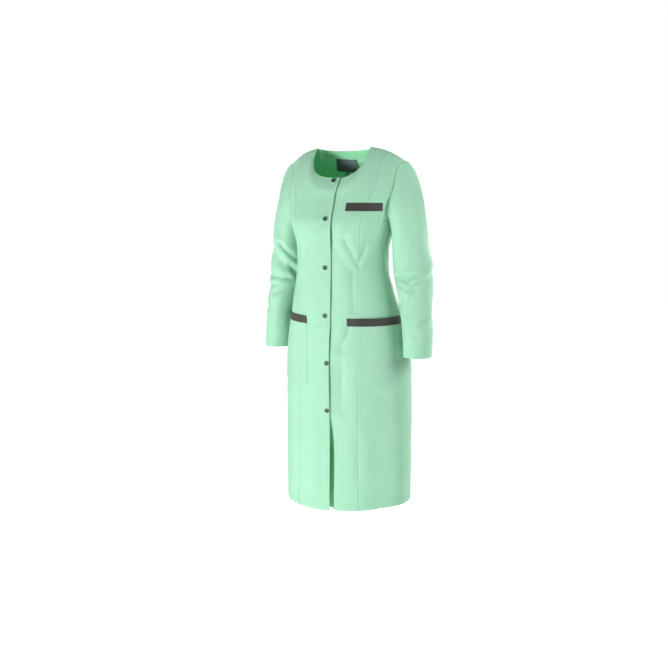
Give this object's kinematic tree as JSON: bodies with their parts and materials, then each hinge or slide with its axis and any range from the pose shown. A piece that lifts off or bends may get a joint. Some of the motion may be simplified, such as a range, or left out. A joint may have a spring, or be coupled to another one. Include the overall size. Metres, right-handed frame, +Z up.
{
  "type": "long work coat",
  "caption": "Knee-length fitted work coat, collarless round neck, long sleeves, snap front, chest and hip pockets with dark bands, filled out as worn.",
  "frame": {"origin": "midway between the neck ends of the two shoulder seams, where the coat hangs on its wearer's shoulders", "axes": "+X towards the wearer's left, -Y towards the front, +Z up along the wearer"},
  "size_m": [0.559, 0.2872, 1.0749],
  "materials": {
    "mint_cloth": "smooth mint green cotton and polyester twill, matt",
    "mint_facing": "wrong side of the same cloth, matt",
    "charcoal_cloth": "smooth charcoal brown twill, matt",
    "label_cloth": "dark grey woven label, left bare",
    "size_tab_cloth": "small grey woven tab, left bare",
    "snap_metal": "dark green enamel, satin"
  },
  "bodies": {
    "root": {"front_right": "mint_cloth", "front_left": "mint_cloth", "side_front_right": "mint_cloth", "side_front_left": "mint_cloth", "back": "mint_cloth", "sleeve_right": "mint_cloth", "sleeve_left": "mint_cloth", "hip_pocket_right": "mint_cloth", "hip_pocket_left": "mint_cloth", "back_neck_facing": "mint_facing", "chest_band": "charcoal_cloth", "hip_band_right": "charcoal_cloth", "hip_band_left": "charcoal_cloth", "neck_label": "label_cloth", "size_tab": "size_tab_cloth", "snap_1": "snap_metal", "snap_2": "snap_metal", "snap_3": "snap_metal", "snap_4": "snap_metal", "snap_5": "snap_metal", "snap_6": "snap_metal"}
  },
  "joints": []
}
